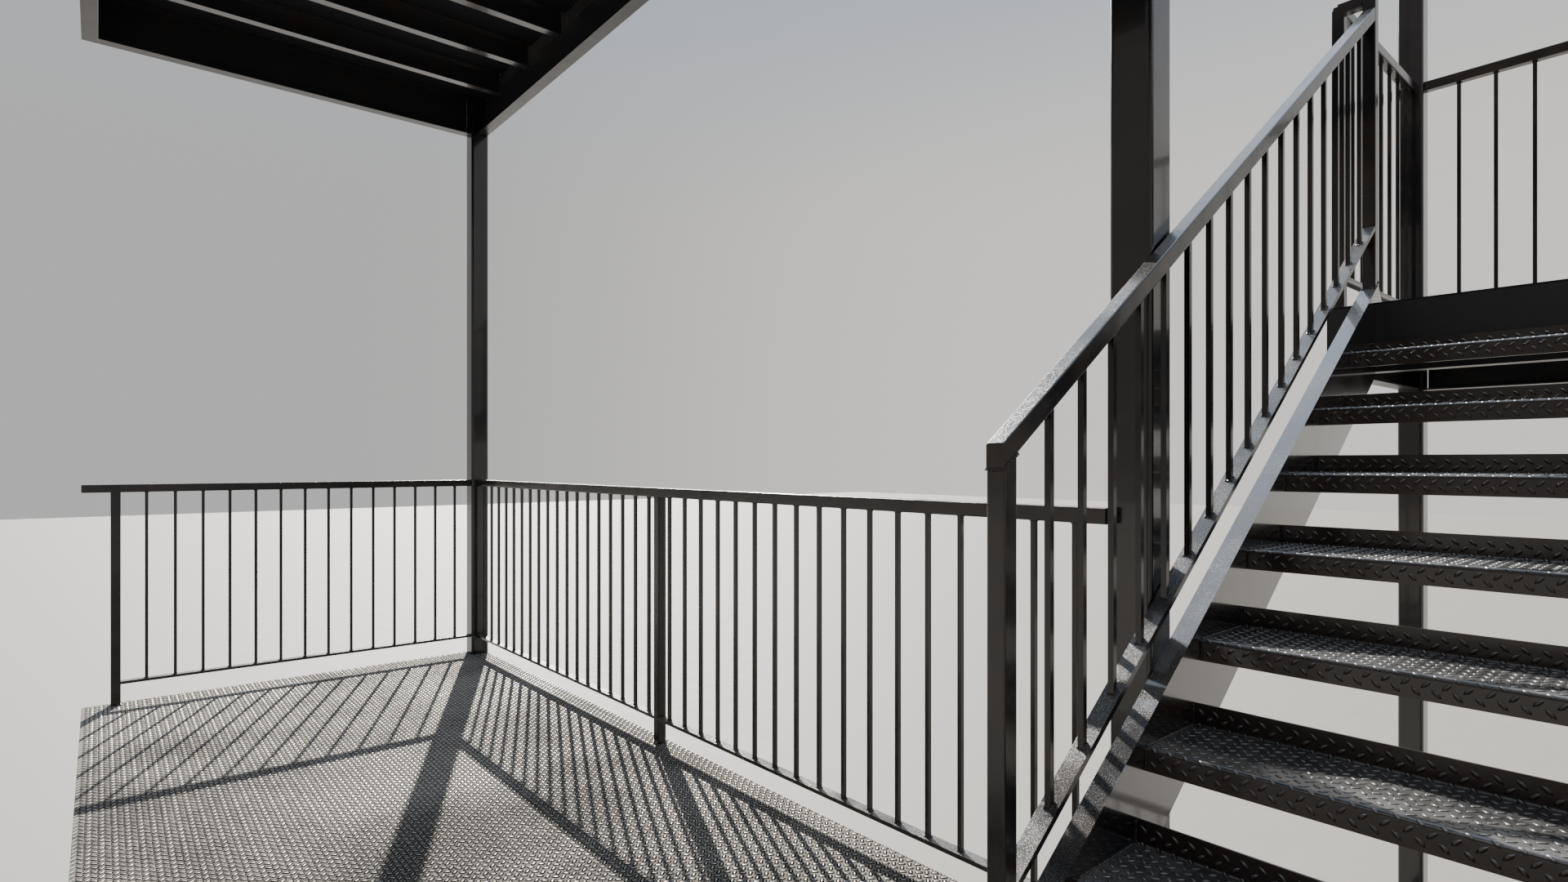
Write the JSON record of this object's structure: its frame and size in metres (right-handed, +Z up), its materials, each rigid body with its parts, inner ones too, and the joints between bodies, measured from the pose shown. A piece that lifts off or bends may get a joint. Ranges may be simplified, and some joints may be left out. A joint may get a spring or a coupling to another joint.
{
  "type": "fire escape stair",
  "caption": "Steel fire escape stair for a house wall: checker plate decks with picket guards, joined by flights that turn back on mid-landings between tube columns.",
  "frame": {"origin": "on the underside of the middle column's base plate, at ground level, where the column's X meets the front guard's line", "axes": "+X along the wall from the far deck bay towards the stair bay, +Y away from the wall, +Z up"},
  "size_m": [6.6064, 4.498, 7.925],
  "materials": {
    "column_paint": "gloss",
    "frame_paint": "gloss",
    "stringer_paint": "gloss",
    "guard_paint": "gloss",
    "floor_plate": "satin",
    "tread_plate": "gloss",
    "bolt_steel": "satin"
  },
  "bodies": {
    "root": {"base_plates": "column_paint", "column_caps": "column_paint", "far_column": "column_paint", "middle_column": "column_paint", "near_column": "column_paint", "landing_column_left": "column_paint", "landing_column_right": "column_paint", "lower_deck_plate": "floor_plate", "lower_deck_frame": "frame_paint", "lower_wall_ledger": "frame_paint", "lower_deck_joists": "frame_paint", "lower_front_guard": "guard_paint", "lower_far_guard": "guard_paint", "lower_near_guard": "guard_paint", "upper_deck_plate": "floor_plate", "upper_deck_frame": "frame_paint", "upper_wall_ledger": "frame_paint", "upper_deck_joists": "frame_paint", "upper_front_guard": "guard_paint", "upper_far_guard": "guard_paint", "upper_near_guard": "guard_paint", "upper_stair_guard": "guard_paint", "lower_landing_plate": "floor_plate", "lower_landing_frame": "frame_paint", "lower_landing_guards": "guard_paint", "upper_landing_plate": "floor_plate", "upper_landing_frame": "frame_paint", "upper_landing_guards": "guard_paint", "first_flight_stringers": "stringer_paint", "first_flight_treads": "tread_plate", "first_flight_outer_rail": "guard_paint", "first_flight_inner_rail": "guard_paint", "second_flight_stringers": "stringer_paint", "second_flight_treads": "tread_plate", "second_flight_outer_rail": "guard_paint", "second_flight_inner_rail": "guard_paint", "third_flight_stringers": "stringer_paint", "third_flight_treads": "tread_plate", "third_flight_outer_rail": "guard_paint", "third_flight_inner_rail": "guard_paint", "fourth_flight_stringers": "stringer_paint", "fourth_flight_treads": "tread_plate", "fourth_flight_outer_rail": "guard_paint", "fourth_flight_inner_rail": "guard_paint"}
  },
  "joints": []
}
